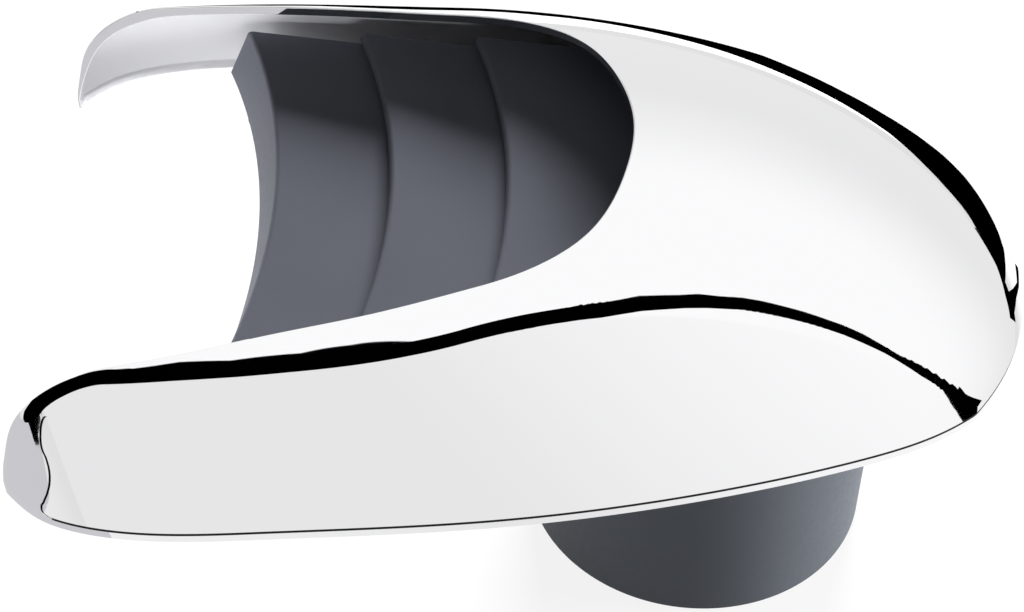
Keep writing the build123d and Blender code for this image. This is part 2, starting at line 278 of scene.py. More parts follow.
def cowl_grid(margin, sections, steps):
    """Outer and inner surface of one half of the cowl, as rows from the foot to the mouth's
    edge or the middle line. Each row lies in one upright plane."""
    edge = mouth_edge(margin)
    inner_end = edge[np.argmin(np.abs(edge[:, 0] - inner_tail)):]
    along_middle = np.linspace(edge[-1, 0], roof_line_end, middle_samples)[1:]
    middle_line = np.stack([along_middle, np.zeros_like(along_middle)], axis=1)
    ends = along_path(np.vstack([inner_end, middle_line]), sections)
    apex = np.argmin(np.hypot(*(ends - edge[-1]).T))
    ends[apex] = edge[-1]
    ends[apex:, 1] = 0.0
    feet = along_path(cowl_outline(edge), sections)
    across = feet - ends
    across /= np.hypot(*across.T)[:, None]
    level = foot_band + seam_width
    start = np.concatenate([ends, np.full((sections, 1), level)], axis=1)[:, None, :]
    outwards = np.concatenate([across, np.zeros((sections, 1))], axis=1)[:, None, :]
    upwards = np.array([0.0, 0.0, 1.0])

    def rays(angle):
        return np.cos(angle)[..., None] * outwards + np.sin(angle)[..., None] * upwards

    even = np.repeat(np.linspace(0, np.pi / 2, trial_rays)[None, :], sections, axis=0)
    first = start + rays(even) * reach_along(start, rays(even), 0.0)[..., None]
    step = np.linalg.norm(np.diff(first, axis=1), axis=-1)
    bend = surface_normals(first)
    step += bend_weight * np.linalg.norm(np.diff(bend, axis=1), axis=-1)
    run = np.concatenate([np.zeros((sections, 1)), np.cumsum(step, axis=1)], axis=1)
    spread_rays = [np.interp(np.linspace(0, part[-1], steps), part, turn) for part, turn in zip(run, even)]
    angle = np.stack(spread_rays)
    ray = rays(angle)
    outer = start + ray * reach_along(start, ray, 0.0)[..., None]
    inner = start + ray * reach_along(start, ray, cowl_wall)[..., None]
    # The open arms thin out towards the deck
    open_part = np.clip((thin_foot_start - inner[..., 0]) / thin_foot_run, 0.0, 1.0)
    low_part = 1.0 - eased(inner[..., 2] / thin_foot_height)
    thinning = (1.0 - thin_foot_share) * open_part * low_part
    inner = inner + (outer - inner) * thinning[..., None]
    toward_mouth = np.stack([across[0, 1], -across[0, 0]])
    along = np.gradient(ends[:apex + 1], axis=0)
    along /= np.hypot(*along.T)[:, None]
    along[-1] = 0.0, 1.0
    facing = np.stack([-along[:, 1], along[:, 0]], axis=1)
    return outer, inner, apex, toward_mouth, facing


def cowl_half(sections, steps):
    """Vertices, normals, faces, seam faces and inside faces of one half of the cowl, in millimetres."""
    outer, inner, apex, toward_mouth, facing = cowl_grid(edge_round, sections, steps)
    outer_normal = surface_normals(outer)
    inner_normal = surface_normals(inner)
    flat = outer_normal[:, :1].copy()
    flat[..., 2] = 0.0
    flat /= np.linalg.norm(flat, axis=-1, keepdims=True)
    down = np.zeros_like(flat)
    down[..., 2] = -1.0
    seam_top = foot_band + seam_width
    levels = [0.0, edge_round, foot_band, foot_band + seam_flank, seam_top - seam_flank]
    insets = [edge_round, 0.0, 0.0, seam_depth, seam_depth]
    band_out, band_in = [], []
    # The groove ends a little before the tail, where the drawn seam climbs the arm
    seam_part = np.clip((outer[:, :1, :1] - seam_turn) / seam_turn_run, 0.0, 1.0)
    for level, inset in zip(levels, insets):
        row = outer[:, :1] - flat * inset * (1.0 if level == 0 else seam_part)
        row[..., 2] = level
        band_out.append(row)
        row = inner[:, :1] + flat * (inset if level == 0 else 0.0)
        row[..., 2] = level
        band_in.append(row)
    outer = np.concatenate(band_out + [outer], axis=1)
    inner = np.concatenate(band_in + [inner], axis=1)
    band_normals = [down] + [flat] * (len(levels) - 1)
    outer_normal = np.concatenate(band_normals + [outer_normal], axis=1)
    inner_normal = np.concatenate([-down] + [flat] * (len(levels) - 1) + [inner_normal], axis=1)
    rows = outer.shape[1]

    points = [outer.reshape(-1, 3), inner.reshape(-1, 3)]
    normals = [outer_normal.reshape(-1, 3), -inner_normal.reshape(-1, 3)]
    count = sections * rows
    index = np.arange(count).reshape(sections, rows)
    quads, seam, inside = [], [], []
    for i in range(sections - 1):
        for j in range(rows - 1):
            a, b, c, d = index[i, j], index[i + 1, j], index[i + 1, j + 1], index[i, j + 1]
            if j in seam_rows and seam_part[i, 0, 0] > seam_faint:
                seam.append(len(quads))
            quads.append((a, b, c, d))
            inside.append(len(quads))
            quads.append((d + count, c + count, b + count, a + count))
        a, b = index[i, 0], index[i + 1, 0]
        quads.append((a, a + count, b + count, b))

    # Rim of the mouth: up the tail end of the arm, then along the edge to the apex
    path = [(0, j) for j in range(rows)] + [(i, rows - 1) for i in range(1, apex + 1)]
    turn = [np.append(toward_mouth, 0.0)] * rows + [np.append(facing[i], 0.0) for i in range(1, apex + 1)]
    rim = []
    for (i, j), out in zip(path, turn):
        for skin, normal in ((outer[i, j], outer_normal[i, j]), (inner[i, j], -inner_normal[i, j])):
            rim.append((skin + out * edge_round - normal * edge_round, out))
    points.append(np.array([place for place, _ in rim]))
    normals.append(np.array([out for _, out in rim]))
    base = 2 * count
    for k in range(len(path) - 1):
        here, after = index[path[k]], index[path[k + 1]]
        edge, next_edge = base + 2 * k, base + 2 * k + 2
        quads.append((here, after, next_edge, edge))
        quads.append((edge, next_edge, next_edge + 1, edge + 1))
        quads.append((edge + 1, next_edge + 1, after + count, here + count))
    quads.append((index[0, 0], base, base + 1, index[0, 0] + count))
    points = np.vstack(points)
    end_part = np.clip((tail_flat_start - points[:, 0]) / tail_flat_run, 0.0, 1.0)
    low_part = 1.0 - eased((points[:, 2] - tail_flat_height) / tail_flat_fade)
    points[:, 0] += tail_flat_push * end_part ** tail_flat_power * low_part
    return points, np.vstack(normals), quads, seam, inside


def add_object(name, data):
    """Object with its data, in the scene."""
    made = bpy.data.objects.new(name, data)
    bpy.context.scene.collection.objects.link(made)
    return made


def build_mesh(name, points, quads, materials, normals, material_index):
    """Smooth mesh object from points in millimetres."""
    mesh = bpy.data.meshes.new(name)
    mesh.from_pydata((np.asarray(points) * MM).tolist(), [], [tuple(int(v) for v in q) for q in quads])
    for material in materials:
        mesh.materials.append(material)
    mesh.polygons.foreach_set("use_smooth", [True] * len(mesh.polygons))
    mesh.polygons.foreach_set("material_index", material_index)
    mesh.normals_split_custom_set_from_vertices(np.asarray(normals).tolist())
    mesh.update()
    return add_object(name, mesh)


def make_cowl(materials):
    """Both halves of the cowl, joined along the middle line."""
    sections, steps = full_grid
    points, normals, quads, seam, inside = cowl_half(sections, steps)
    middle = np.abs(points[:, 1]) < nearly_zero
    points[middle, 1] = 0.0
    normals[middle, 1] = 0.0
    normals /= np.linalg.norm(normals, axis=1, keepdims=True)
    count = len(points)
    mirror = np.where(middle, np.arange(count), np.cumsum(~middle) - 1 + count)
    all_points = np.vstack([points, points[~middle] * (1, -1, 1)])
    all_normals = np.vstack([normals, normals[~middle] * (1, -1, 1)])
    other = [tuple(mirror[v] for v in reversed(quad)) for quad in quads]
    chosen = np.zeros(2 * len(quads), int)
    for slot, group in ((1, seam), (2, inside)):
        chosen[group] = slot
        chosen[np.array(group) + len(quads)] = slot
    return build_mesh("polished_cowl", all_points, list(quads) + other, materials, all_normals, chosen)


# Materials

def set_inputs(tree, node, inputs):
    """Give each input of a node its value, or the output that feeds it."""
    for socket, value in inputs.items():
        if isinstance(value, bpy.types.NodeSocket):
            tree.links.new(value, node.inputs[socket])
        else:
            node.inputs[socket].default_value = value


def add_node(tree, kind, inputs=None, **settings):
    """Node with its settings and inputs."""
    made = tree.nodes.new(kind)
    for key, value in settings.items():
        setattr(made, key, value)
    set_inputs(tree, made, inputs or {})
    return made


def calc(tree, operation, *values):
    return add_node(tree, "ShaderNodeMath", dict(enumerate(values)), operation=operation).outputs[0]


def object_place(tree):
    return add_node(tree, "ShaderNodeTexCoord").outputs["Object"]


def noise(tree, place, scale, detail):
    inputs = {"Vector": place, "Scale": scale, "Detail": detail}
    return add_node(tree, "ShaderNodeTexNoise", inputs).outputs["Fac"]


def spread(tree, value, low, high):
    """A value from zero to one, taken to the range from low to high."""
    inputs = {"Value": value, "To Min": low, "To Max": high}
    return add_node(tree, "ShaderNodeMapRange", inputs).outputs["Result"]


def blend(tree, factor, first, second):
    inputs = {"Factor": factor, "A": (*first, 1), "B": (*second, 1)}
    return add_node(tree, "ShaderNodeMix", inputs, data_type="RGBA").outputs["Result"]


def shades(tree, factor, color, low, high):
    """Blend of two shades of a colour, which are shares of it."""
    return blend(tree, factor, [low * c for c in color], [high * c for c in color])


def relief(tree, height, strength, distance):
    inputs = {"Height": height, "Strength": strength, "Distance": distance}
    return add_node(tree, "ShaderNodeBump", inputs).outputs["Normal"]


def new_material(name):
    material = bpy.data.materials.new(name)
    material.use_nodes = True
    return material, material.node_tree, material.node_tree.nodes["Principled BSDF"]


# Height and place along the vent of the seam where it climbs the open arms, in millimetres
seam_climb = [
    (2.3, -127.4), (2.7, -129.2), (3.5, -130.3), (5.1, -129.7), (7.3, -128.7), (9.5, -128.1), (11.2, -128.0),
    (13.1, -128.3), (15.6, -129.1), (17.8, -129.0), (19.9, -128.5), (21.0, -127.7),
]
seam_climb_height = 25.0
seam_climb_middle = -128.0
seam_climb_spread = 6.0
seam_climb_width = 0.42


def seam_line(tree, place):
    """One where the thin dark seam climbs the outside of an open arm, else zero."""
    apart = add_node(tree, "ShaderNodeSeparateXYZ", {"Vector": place}).outputs
    height = calc(tree, "DIVIDE", apart["Z"], seam_climb_height * MM)
    course = add_node(tree, "ShaderNodeFloatCurve", {"Value": height})
    curve = course.mapping.curves[0]
    spots = []
    for z, x in seam_climb:
        spots.append((z / seam_climb_height, 0.5 + (x - seam_climb_middle) / seam_climb_spread))
    curve.points[0].location, curve.points[1].location = spots[0], spots[-1]
    for spot in spots[1:-1]:
        curve.points.new(*spot)
    course.mapping.update()
    along = calc(tree, "MULTIPLY", course.outputs["Value"], seam_climb_spread * MM)
    along = calc(tree, "ADD", along, (seam_climb_middle - seam_climb_spread / 2) * MM)
    aside = calc(tree, "ABSOLUTE", calc(tree, "SUBTRACT", apart["X"], along))
    line = calc(tree, "LESS_THAN", aside, seam_climb_width / 2 * MM)
    above = calc(tree, "GREATER_THAN", apart["Z"], seam_climb[0][0] * MM)
    below = calc(tree, "LESS_THAN", apart["Z"], seam_climb[-1][0] * MM)
    return calc(tree, "MULTIPLY", calc(tree, "MULTIPLY", line, above), below)


def polished_stainless():
    """Mirror polish with a faint haze and the drawn part of the seam."""
    material, tree, shader = new_material("polished_stainless")
    place = object_place(tree)
    set_inputs(tree, shader, {
        "Metallic": 1.0,
        "Base Color": blend(tree, seam_line(tree, place), (0.85, 0.85, 0.86), (0.005, 0.005, 0.005)),
        "Roughness": spread(tree, noise(tree, place, 35.0, 4.0), 0.008, 0.024),
    })
    return material


def plain(name, color, roughness, metallic=0.0):
    material, tree, shader = new_material(name)
    values = {"Base Color": (*color, 1), "Roughness": roughness, "Metallic": metallic}
    set_inputs(tree, shader, values)
    return material


def moulded_plastic(name, color):
    """Matt moulded plastic: slight clouds of shade under a fine spark-eroded grain."""
    material, tree, shader = new_material(name)
    place = object_place(tree)
    grain = noise(tree, place, 900.0, 3.0)
    set_inputs(tree, shader, {
        "Specular IOR Level": 0.08,
        "Base Color": shades(tree, noise(tree, place, 42.0, 5.0), color, 0.93, 1.07),
        "Roughness": spread(tree, grain, 0.42, 0.62),
        "Normal": relief(tree, grain, 0.12, 0.0001),
    })
    return material


def cut_rubber(name, color, cells):
    """Rubber or foam with fine pores; the pores carry painted shade, darker where they sink deepest."""
    material, tree, shader = new_material(name)
    pores = add_node(tree, "ShaderNodeTexVoronoi", {"Vector": object_place(tree), "Scale": cells})
    # The pore depth also sets the colour: painted shade darkens the pores' hollows, on top of the real
    # relief.
    depth = pores.outputs["Distance"]
    set_inputs(tree, shader, {
        "Roughness": 0.85,
        "Specular IOR Level": 0.25,
        "Base Color": shades(tree, depth, color, 0.5, 1.2),
        "Normal": relief(tree, depth, 0.3, 0.0002),
    })
    return material


def turned_steel():
    """Stainless fasteners with fine rings left by turning."""
    material, tree, shader = new_material("turned_steel")
    stretch = {"Vector": object_place(tree), "Scale": (60.0, 60.0, 1800.0)}
    rings = noise(tree, add_node(tree, "ShaderNodeMapping", stretch).outputs["Vector"], 1.0, 2.0)
    set_inputs(tree, shader, {
        "Base Color": (0.62, 0.62, 0.63, 1),
        "Metallic": 1.0,
        "Roughness": spread(tree, rings, 0.22, 0.42),
    })
    return material


chrome = polished_stainless()
seam_black = plain("seam_shadow", (0.01, 0.01, 0.01), 0.8)
satin_inside = plain("satin_inside", (0.63, 0.63, 0.66), 0.5, 0.1)
slate_plastic = moulded_plastic("slate_plastic", (0.125, 0.131, 0.158))
spigot_plastic = moulded_plastic("spigot_plastic", (0.038, 0.042, 0.049))
seal_rubber = cut_rubber("seal_rubber", (0.02, 0.02, 0.02), 900.0)
foam_rubber = cut_rubber("foam_rubber", (0.03, 0.03, 0.032), 1500.0)
fastener_steel = turned_steel()

cowl = make_cowl([chrome, seam_black, satin_inside])
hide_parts("cowl_shell")
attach(cowl, "root")


# Pieces that follow a rule

# The angle is in degrees, the slacks are in metres
soft_angle = 35.0
rim_share = 0.98
face_slack = 0.00001
merge_slack = 0.000002
helper_values = ("reach", "rise", "turn", "across", "rounding")


class Rule:
    """Geometry Nodes tree of a piece, with its sizes as named inputs."""

    def __init__(self, name, sizes):
        self.tree = bpy.data.node_groups.new(name, "GeometryNodeTree")
        face = self.tree.interface
        face.new_socket("Geometry", in_out="INPUT", socket_type="NodeSocketGeometry")
        face.new_socket("Geometry", in_out="OUTPUT", socket_type="NodeSocketGeometry")
        kinds = {"Finish": "NodeSocketMaterial", "Places": "NodeSocketObject", "Cuts": "NodeSocketInt"}
        for size in sizes:
            face.new_socket(size, in_out="INPUT", socket_type=kinds.get(size, "NodeSocketFloat"))
        self.entry = self.node("NodeGroupInput")

    def node(self, kind, inputs=None, **settings):
        return add_node(self.tree, kind, inputs, **settings)

    def size(self, name):
        return self.entry.outputs[name]

    def calc(self, operation, *values):
        return calc(self.tree, operation, *values)

    def named(self, name):
        reader = self.node("GeometryNodeInputNamedAttribute", {"Name": name}, data_type="FLOAT")
        return reader.outputs["Attribute"]

    def keep(self, geometry, name, value):
        """Geometry that carries a value on its points."""
        inputs = {"Geometry": geometry, "Name": name, "Value": value}
        return self.node("GeometryNodeStoreNamedAttribute", inputs, data_type="FLOAT").outputs[0]

    def place(self, geometry, x, y, z):
        spot = self.node("ShaderNodeCombineXYZ", {"X": x, "Y": y, "Z": z}).outputs[0]
        return self.node("GeometryNodeSetPosition", {"Geometry": geometry, "Position": spot}).outputs[0]

    def finish(self, geometry):
        real = self.node("GeometryNodeRealizeInstances", {"Geometry": geometry}).outputs[0]
        done = self.node("GeometryNodeSetMaterial", {"Geometry": real, "Material": self.size("Finish")})
        self.node("NodeGroupOutput", {"Geometry": done.outputs[0]})

    def rounded_profile(self, corner_cuts):
        """Outline drawn by the base mesh, its corners rounded, with reach and rise kept on it."""
        outline = self.node("GeometryNodeMeshToCurve", {"Mesh": self.size("Geometry")}).outputs[0]
        inputs = {
            "Curve": outline, "Count": corner_cuts, "Limit Radius": True, "Radius": self.named("rounding"),
        }
        rounded = self.node("GeometryNodeFilletCurve", inputs, mode="POLY")
        spot = self.node("GeometryNodeInputPosition").outputs[0]
        parts = self.node("ShaderNodeSeparateXYZ", {"Vector": spot})
        kept = self.keep(rounded.outputs[0], "reach", parts.outputs["X"])
        return self.keep(kept, "rise", parts.outputs["Z"])


def louvre_rule():
    """Profile swept along the curved lip and ended on the two converging cheeks."""
    rule = Rule("louvre_blade", ["Lip place", "Lip radius", "First lip", "Cheek spread", "Cheek slope",
                                 "Cuts", "Finish"])
    profile = rule.rounded_profile(corner_cuts=5)
    line = rule.node("GeometryNodeCurvePrimitiveLine", {"Start": (0, -1, 0), "End": (0, 1, 0)})
    path = rule.node("GeometryNodeResampleCurve", {"Curve": line.outputs[0], "Count": rule.size("Cuts")})
    spot = rule.node("GeometryNodeInputPosition").outputs[0]
    across = rule.node("ShaderNodeSeparateXYZ", {"Vector": spot}).outputs["Y"]
    path = rule.keep(path.outputs[0], "across", across)
    sweep = rule.node("GeometryNodeCurveToMesh", {"Curve": path, "Profile Curve": profile, "Fill Caps": True})
    centre = rule.calc("SUBTRACT", rule.size("Lip place"), rule.size("Lip radius"))
    slope = rule.size("Cheek slope")
    behind = rule.calc("SUBTRACT", centre, rule.size("First lip"))
    half_spread = rule.calc("SUBTRACT", rule.size("Cheek spread"), rule.calc("MULTIPLY", slope, behind))
    stretch = rule.calc("SQRT", rule.calc("MULTIPLY_ADD", slope, slope, 1.0))
    share = rule.calc("DIVIDE", half_spread, rule.calc("MULTIPLY", rule.named("reach"), stretch))
    half_turn = rule.calc("SUBTRACT", rule.calc("ARCSINE", share), rule.calc("ARCTANGENT", slope))
    turn = rule.calc("MULTIPLY", half_turn, rule.named("across"))
    x = rule.calc("MULTIPLY_ADD", rule.named("reach"), rule.calc("COSINE", turn), centre)
    y = rule.calc("MULTIPLY", rule.named("reach"), rule.calc("SINE", turn))
    rule.finish(rule.place(sweep.outputs[0], x, y, rule.named("rise")))
    return rule.tree


def turned_rule():
    """Profile turned round the upright axis, with an optional hexagon head, thread and cross
    recess, repeated at its places."""
    rule = Rule("turned_piece", ["Cuts", "Head above", "Head flats", "Thread below", "Thread pitch",
                                 "Thread depth", "Recess face", "Recess width", "Recess length",
                                 "Recess depth", "Places", "Finish"])
    profile = rule.rounded_profile(corner_cuts=4)
    circle = rule.node("GeometryNodeCurvePrimitiveCircle", {"Resolution": rule.size("Cuts"), "Radius": 1.0})
    along = rule.node("GeometryNodeSplineParameter").outputs["Factor"]
    path = rule.keep(circle.outputs[0], "turn", rule.calc("MULTIPLY", along, 2 * np.pi))
    sweep = rule.node("GeometryNodeCurveToMesh", {"Curve": path, "Profile Curve": profile})
    reach, rise, turn = rule.named("reach"), rule.named("rise"), rule.named("turn")
    half_flats = rule.calc("MULTIPLY", rule.size("Head flats"), 0.5)
    sixth = rule.calc("WRAP", turn, np.pi / 6, -np.pi / 6)
    corner = rule.calc("DIVIDE", half_flats, rule.calc("COSINE", sixth))
    on_flats = rule.calc("MULTIPLY", rule.calc("GREATER_THAN", rise, rule.size("Head above")),
                         rule.calc("GREATER_THAN", reach, rule.calc("MULTIPLY", half_flats, rim_share)))
    radius = rule.calc("ADD", rule.calc("MULTIPLY", reach, rule.calc("SUBTRACT", 1.0, on_flats)),
                       rule.calc("MULTIPLY", corner, on_flats))
    wind = rule.calc("SUBTRACT", rule.calc("DIVIDE", rise, rule.size("Thread pitch")),
                     rule.calc("DIVIDE", turn, 2 * np.pi))
    groove = rule.calc("PINGPONG", rule.calc("MULTIPLY", wind, 2.0), 1.0)
    threaded = rule.calc("LESS_THAN", rise, rule.size("Thread below"))
    cut = rule.calc("MULTIPLY", rule.calc("MULTIPLY", groove, threaded), rule.size("Thread depth"))
    outer = rule.calc("GREATER_THAN", reach, rule.calc("MULTIPLY", rule.size("Thread depth"), 2.0))
    radius = rule.calc("SUBTRACT", radius, rule.calc("MULTIPLY", cut, outer))
    x = rule.calc("MULTIPLY", radius, rule.calc("COSINE", turn))
    y = rule.calc("MULTIPLY", radius, rule.calc("SINE", turn))
    near_axis = rule.calc("MINIMUM", rule.calc("ABSOLUTE", x), rule.calc("ABSOLUTE", y))
    in_cross = rule.calc("LESS_THAN", near_axis, rule.size("Recess width"))
    in_reach = rule.calc("LESS_THAN", reach, rule.size("Recess length"))
    off_face = rule.calc("ABSOLUTE", rule.calc("SUBTRACT", rise, rule.size("Recess face")))
    on_face = rule.calc("LESS_THAN", off_face, face_slack)
    sunk = rule.calc("MULTIPLY", rule.calc("MULTIPLY", in_cross, in_reach), on_face)
    z = rule.calc("SUBTRACT", rise, rule.calc("MULTIPLY", sunk, rule.size("Recess depth")))
    turned = rule.place(sweep.outputs[0], x, y, z)
    closed = rule.node("GeometryNodeMergeByDistance", {"Geometry": turned, "Distance": merge_slack})
    spots = rule.node("GeometryNodeObjectInfo", {"Object": rule.size("Places")}).outputs["Geometry"]
    points = rule.node("GeometryNodeMeshToPoints", {"Mesh": spots}).outputs[0]
    copies = rule.node("GeometryNodeInstanceOnPoints", {"Points": points, "Instance": closed.outputs[0]})
    rule.finish(copies.outputs[0])
    return rule.tree


def grow(name, tree, corners, closed, sizes):
    """Finished piece: its outline taken through its rule. A corner gives reach, rise and, where it is
    rounded, a radius, all in millimetres."""
    mesh = bpy.data.meshes.new(name + "_outline")
    count = len(corners)
    edges = [(i, i + 1) for i in range(count - 1)] + ([(count - 1, 0)] if closed else [])
    mesh.from_pydata([(corner[0] * MM, 0.0, corner[1] * MM) for corner in corners], edges, [])
    softness = mesh.attributes.new("rounding", "FLOAT", "POINT")
    softness.data.foreach_set("value", [corner[2] * MM if len(corner) == 3 else 0.0 for corner in corners])
    draft = add_object(name + "_draft", mesh)
    modifier = draft.modifiers.new("rule", "NODES")
    modifier.node_group = tree
    for item in tree.interface.items_tree:
        if item.item_type == "SOCKET" and item.in_out == "INPUT" and item.name in sizes:
            modifier[item.identifier] = sizes[item.name]
    bpy.context.view_layer.update()
    depsgraph = bpy.context.evaluated_depsgraph_get()
    result = bpy.data.meshes.new_from_object(draft.evaluated_get(depsgraph), depsgraph=depsgraph)
    bpy.data.objects.remove(draft)
    result.name = name
    shell = bmesh.new()
    shell.from_mesh(result)
    bmesh.ops.recalc_face_normals(shell, faces=shell.faces)
    if shell.calc_volume(signed=True) < 0:
        bmesh.ops.reverse_faces(shell, faces=shell.faces)
    shell.to_mesh(result)
    shell.free()
    for value in helper_values:
        if value in result.attributes:
            result.attributes.remove(result.attributes[value])
    result.shade_smooth()
    result.set_sharp_from_angle(angle=np.radians(soft_angle))
    return add_object(name, result)


def places_of(name, spots):
    """Helper with a point at each place, in millimetres."""
    mesh = bpy.data.meshes.new(name)
    mesh.from_pydata([(x * MM, y * MM, 0.0) for x, y in spots], [], [])
    return add_object(name, mesh)


# Louvres

louvre_radius = 160.0
louvre_thickness = 1.4
louvre_pitch = 23.3
louvre_step = 2.6
louvre_overlap = 3.5
louvre_bend = 1.2
lip_depth = 1.8
first_lip = -89.3
first_lip_height = 24.0
apron_depth = 12.4
apron_lean = 4.6
rear_louvre_end = -9.0
fence_height = 4.0
cheek_half_spread = 50.0
cheek_slope = 0.2055
moulded_edge = 0.25
blade_sections = 97
louvre_names = ("front", "middle", "rear")


def louvre_outline(index):
    """Corners of a blade's section: reach, rise and rounding."""
    height = first_lip_height + index * louvre_step
    last = index == len(louvre_names) - 1
    reach = louvre_pitch + louvre_overlap
    if last:
        reach = rear_louvre_end - first_lip - index * louvre_pitch
    depth = apron_depth if index == 0 else lip_depth
    lean = apron_lean * depth / apron_depth
    inner = louvre_radius + louvre_thickness
    knee = louvre_thickness * apron_lean / apron_depth
    end = louvre_radius + reach
    corners = [
        (louvre_radius - lean, height - depth, moulded_edge),
        (louvre_radius, height, louvre_bend),
    ]
    if last:
        corners += [
            (end - louvre_thickness, height, moulded_edge),
            (end - louvre_thickness, height + fence_height, moulded_edge),
            (end, height + fence_height, moulded_edge),
        ]
    else:
        corners.append((end, height, moulded_edge))
    corners += [
        (end, height - louvre_thickness, moulded_edge),
        (inner - knee, height - louvre_thickness, moulded_edge),
        (inner - lean, height - depth, moulded_edge),
    ]
    return corners


blade_rule = louvre_rule()
for index, place_name in enumerate(louvre_names):
    blade = grow(place_name + "_blade", blade_rule, louvre_outline(index), True, {
        "Lip place": (first_lip + index * louvre_pitch) * MM, "Lip radius": louvre_radius * MM,
        "First lip": first_lip * MM, "Cheek spread": cheek_half_spread * MM, "Cheek slope": cheek_slope,
        "Cuts": blade_sections, "Finish": slate_plastic,
    })
    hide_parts(place_name + "_louvre")
    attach(blade, "root")


# Turned pieces

spigot_radius = 38.0
spigot_bore = 35.0
spigot_end = -68.1
spigot_chamfer = 0.8
collar_radius = 38.6
coaming_top = 14.0
flange_radius = 43.5
flange_low = 8.0
flange_top = 10.5
spigot_outline = [
    (spigot_bore, spigot_end, 0.4), (spigot_radius - spigot_chamfer, spigot_end, 0.0),
    (spigot_radius, spigot_end + spigot_chamfer, 0.2), (spigot_radius, 0.0, 0.0), (collar_radius, 0.0, 0.2),
    (collar_radius, flange_low, 0.0), (flange_radius, flange_low, 0.2), (flange_radius, flange_top, 0.5),
    (spigot_radius, flange_top, 0.6), (spigot_radius, coaming_top, 0.5), (spigot_bore, coaming_top, 0.5),
]

stud_along = (-78.5, 43.5)
stud_across = (24.0, -24.0)
stud_radius = 2.5
stud_end = -19.0
stud_thread_top = -0.6
stud_neck = 3.2
stud_flats = 8.0
stud_head_low = 4.5
stud_head_top = 8.0

flange_screw_circle = 40.75
flange_screw_radius = 1.25
flange_screw_top = 12.1

boss_spots = [(-80.0, 62.0), (-80.0, -62.0), (26.0, 40.0162), (26.0, -40.0162)]
cowl_screw_radius = 2.0
cowl_screw_face = 1.5
cowl_screw_end = 10.5

# Sizes in millimetres of a turned piece with no head, thread or recess
out_of_reach = 1000.0
no_extras = {
    "Head above": out_of_reach, "Head flats": out_of_reach, "Thread below": -out_of_reach,
    "Thread pitch": out_of_reach, "Thread depth": 0.0, "Recess face": out_of_reach,
    "Recess width": 0.0, "Recess length": 0.0, "Recess depth": 0.0,
}
spin_rule = turned_rule()


def shank(radius, low, high, step):
    """Corners along a shank, close enough together to carry a thread."""
    return [(radius, rise) for rise in np.arange(low, high, step)]


def turned_piece(name, corners, closed, cuts, spots, finish, extras):
    """Piece turned from its outline, once at each spot; the extras are sizes in millimetres."""
    helper = places_of(name + "_places", spots)
    sizes = {size: length * MM for size, length in {**no_extras, **extras}.items()}
    sizes.update({"Cuts": cuts, "Places": helper, "Finish": finish})
    piece = grow(name, spin_rule, corners, closed, sizes)
    bpy.data.objects.remove(helper)
    return piece


spigot = turned_piece("duct_spigot", spigot_outline, True, 192, [(0.0, 0.0)], spigot_plastic, {})
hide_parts("hose_spigot")
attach(spigot, "root")

corner_names = ("tail_left", "tail_right", "nose_left", "nose_right")
stud_outline = [(0.0, stud_end), (1.9, stud_end)] + shank(stud_radius, -18.4, -0.4, 0.16) + [
    (stud_radius, 0.0), (stud_neck, 0.0), (stud_neck, stud_head_low), (4.0, stud_head_low), (4.0, 7.6),
    (3.6, stud_head_top), (0.0, stud_head_top),
]
stud_spots = [(x, y) for x in stud_along for y in stud_across]
studs = turned_piece("deck_studs", stud_outline, False, 30, stud_spots, fastener_steel, {
    "Head above": stud_head_low - 0.1, "Head flats": stud_flats, "Thread below": stud_thread_top,
    "Thread pitch": 0.8, "Thread depth": 0.42,
})
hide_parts(*["mounting_stud_" + corner for corner in corner_names])
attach(studs, "root")

flange_screw_outline = [(0.0, 3.0), (0.9, 3.0)] + shank(flange_screw_radius, 3.4, 10.2, 0.14)
flange_screw_outline += [(flange_screw_radius, flange_top), (2.2, flange_top), (2.2, 11.5)]
flange_screw_outline += [(reach, flange_screw_top) for reach in (1.8, 1.4, 1.2, 0.9, 0.6, 0.4, 0.2, 0.0)]
screw_turns = np.radians([45, 135, 225, 315])
flange_spots = [(flange_screw_circle * np.cos(a), flange_screw_circle * np.sin(a)) for a in screw_turns]
flange_screws = turned_piece("flange_screws", flange_screw_outline, False, 32, flange_spots, fastener_steel, {
    "Thread below": 9.9, "Thread pitch": 0.7, "Thread depth": 0.25, "Recess face": flange_screw_top,
    "Recess width": 0.32, "Recess length": 1.3, "Recess depth": 0.9,
})
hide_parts(*["spigot_screw_%d" % number for number in range(1, 5)])
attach(flange_screws, "root")

cowl_screw_outline = [(reach, cowl_screw_face) for reach in (0.0, 0.3, 0.6, 1.0, 1.5, 1.9, 2.2, 3.8)]
cowl_screw_outline += [(cowl_screw_radius, 3.3)] + shank(cowl_screw_radius, 3.5, 10.3, 0.16)
cowl_screw_outline += [(1.4, cowl_screw_end), (0.0, cowl_screw_end)]
cowl_screws = turned_piece("cowl_screws", cowl_screw_outline, False, 32, boss_spots, fastener_steel, {
    "Thread below": 0.0, "Recess face": cowl_screw_face, "Recess width": 0.4, "Recess length": 2.1,
    "Recess depth": -1.2,
})
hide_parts(*["cowl_screw_" + corner for corner in corner_names])
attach(cowl_screws, "root")

cad_finishes = {"duct_housing": slate_plastic, "spigot_seal": seal_rubber, "base_gasket": foam_rubber}
for node, finish in cad_finishes.items():
    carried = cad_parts[node]
    carried.data.materials.clear()
    carried.data.materials.append(finish)


# Studio

floor_height = -0.0682
floor_reach = 6.0
floor_grey = (0.85, 0.85, 0.85)
floor_white_share = 0.85
dome_radius = 3.0
card_cuts = 8
black = (0.0, 0.0, 0.0)
lilac_grey = (0.67, 0.67, 0.7)
black_lift = 0.001
grey_lift = 0.0005


